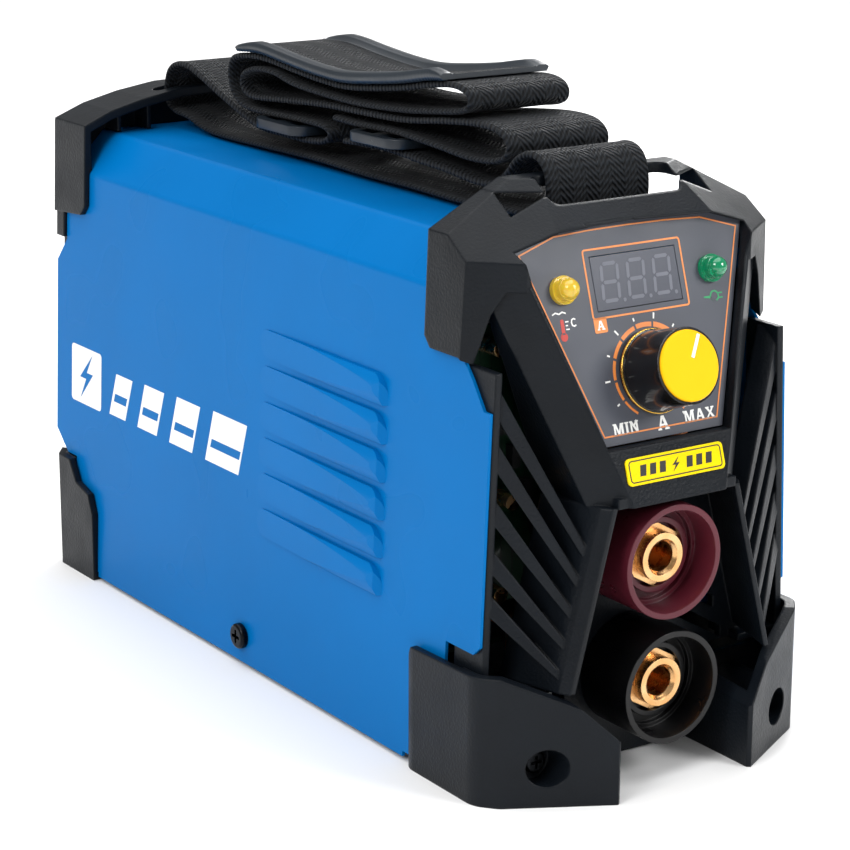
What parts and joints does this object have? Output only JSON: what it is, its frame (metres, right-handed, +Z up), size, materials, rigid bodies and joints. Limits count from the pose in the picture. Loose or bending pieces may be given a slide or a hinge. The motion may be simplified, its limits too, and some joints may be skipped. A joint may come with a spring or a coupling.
{
  "type": "stick welding inverter",
  "caption": "Portable stick welding inverter: blue sheet-metal cover, black corner guards, sloped control panel with a dial, output sockets and a folded shoulder strap.",
  "frame": {"origin": "on the ground under the middle of the outer size", "axes": "+Z up, the front panel faces -Y, +X to the right seen from the front"},
  "size_m": [0.1238, 0.3, 0.203],
  "materials": {
    "blue_paint": "glossy powder coat",
    "textured_black": "fine moulded texture",
    "panel_paint": "black powder coat",
    "zinc_sheet": "zinc-plated sheet",
    "printed_label": "matt printed film",
    "yellow_print": "printed film",
    "amber_lens": "clear amber",
    "green_lens": "clear green",
    "smoked_window": "smoked polycarbonate",
    "display_black": "potted module",
    "knob_black": "polished",
    "knob_yellow": "satin",
    "pointer_white": "printed",
    "turned_steel": "turned",
    "maroon_plastic": "moulded",
    "cup_black": "moulded",
    "contact_brass": "turned",
    "copper_bar": "bare copper",
    "fan_black": "moulded",
    "guard_chrome": "plated wire",
    "switch_black": "moulded",
    "rocker_red": "moulded",
    "gland_black": "nylon",
    "stud_brass": "turned",
    "black_screw": "black oxide",
    "bright_screw": "zinc plated",
    "board_green": "solder resist",
    "nylon_white": "moulded",
    "sink_aluminium": "extruded",
    "ferrite": "sintered",
    "winding_tape": "polyester tape",
    "toroid_wire": "enamelled wire",
    "can_sleeve": "heat-shrink sleeve",
    "device_epoxy": "epoxy",
    "black_webbing": "woven polypropylene",
    "pad_grey": "soft moulded",
    "buckle_grey": "moulded"
  },
  "bodies": {
    "housing": {"cover": "blue_paint", "front_bezel": "textured_black", "rear_bezel": "textured_black", "front_right_foot": "textured_black", "front_left_foot": "textured_black", "rear_right_foot": "textured_black", "rear_left_foot": "textured_black", "rear_panel": "panel_paint", "base_tray": "zinc_sheet", "control_label": "printed_label", "yellow_label": "yellow_print", "temperature_lamp": "amber_lens", "power_lamp": "green_lens", "display_window": "smoked_window", "display_module": "display_black", "potentiometer": "turned_steel", "potentiometer_nut": "turned_steel", "positive_socket_cup": "maroon_plastic", "negative_socket_cup": "cup_black", "positive_contact": "contact_brass", "negative_contact": "contact_brass", "positive_socket_nut": "contact_brass", "negative_socket_nut": "contact_brass", "brass_standoffs": "contact_brass", "positive_busbar": "copper_bar", "negative_busbar": "copper_bar", "fan_frame": "fan_black", "fan_guard": "guard_chrome", "switch_body": "switch_black", "cable_gland": "gland_black", "gland_cap": "gland_black", "gland_nut": "gland_black", "earth_stud": "stud_brass", "earth_nuts": "stud_brass", "cover_screws": "black_screw", "front_foot_screws": "black_screw", "rear_foot_screws": "black_screw", "fan_screws": "bright_screw", "power_board": "board_green", "control_board": "board_green", "board_pillars": "nylon_white", "left_heatsink": "sink_aluminium", "right_heatsink": "sink_aluminium", "transformer_core": "ferrite", "transformer_winding": "winding_tape", "output_inductor": "toroid_wire", "capacitors": "can_sleeve", "power_devices": "device_epoxy", "bridge_rectifier": "device_epoxy", "board_components": "device_epoxy", "carry_strap": "black_webbing", "shoulder_pad": "pad_grey", "front_slider": "buckle_grey", "rear_slider": "buckle_grey"},
    "knob": {"knob_body": "knob_black", "knob_cap": "knob_yellow", "knob_pointer": "pointer_white", "potentiometer_shaft": "turned_steel"},
    "fan_rotor": {"fan_rotor": "fan_black"},
    "rocker": {"switch_rocker": "rocker_red"}
  },
  "joints": [
    {"name": "dial_turn", "type": "hinge", "parent": "housing", "child": "knob", "pos_m": [0, -0.1289, 0.1226], "axis": [0, -0.9519, 0.3065], "range_deg": [-122, 178]},
    {"name": "fan_spin", "type": "hinge", "parent": "housing", "child": "fan_rotor", "pos_m": [0.009, 0.113, 0.078], "axis": [0, 1, 0], "continuous": true},
    {"name": "rocker_tilt", "type": "hinge", "parent": "housing", "child": "rocker", "pos_m": [-0.02, 0.1265, 0.1395], "axis": [0, 0, 1], "range_deg": [-18, 0]}
  ]
}
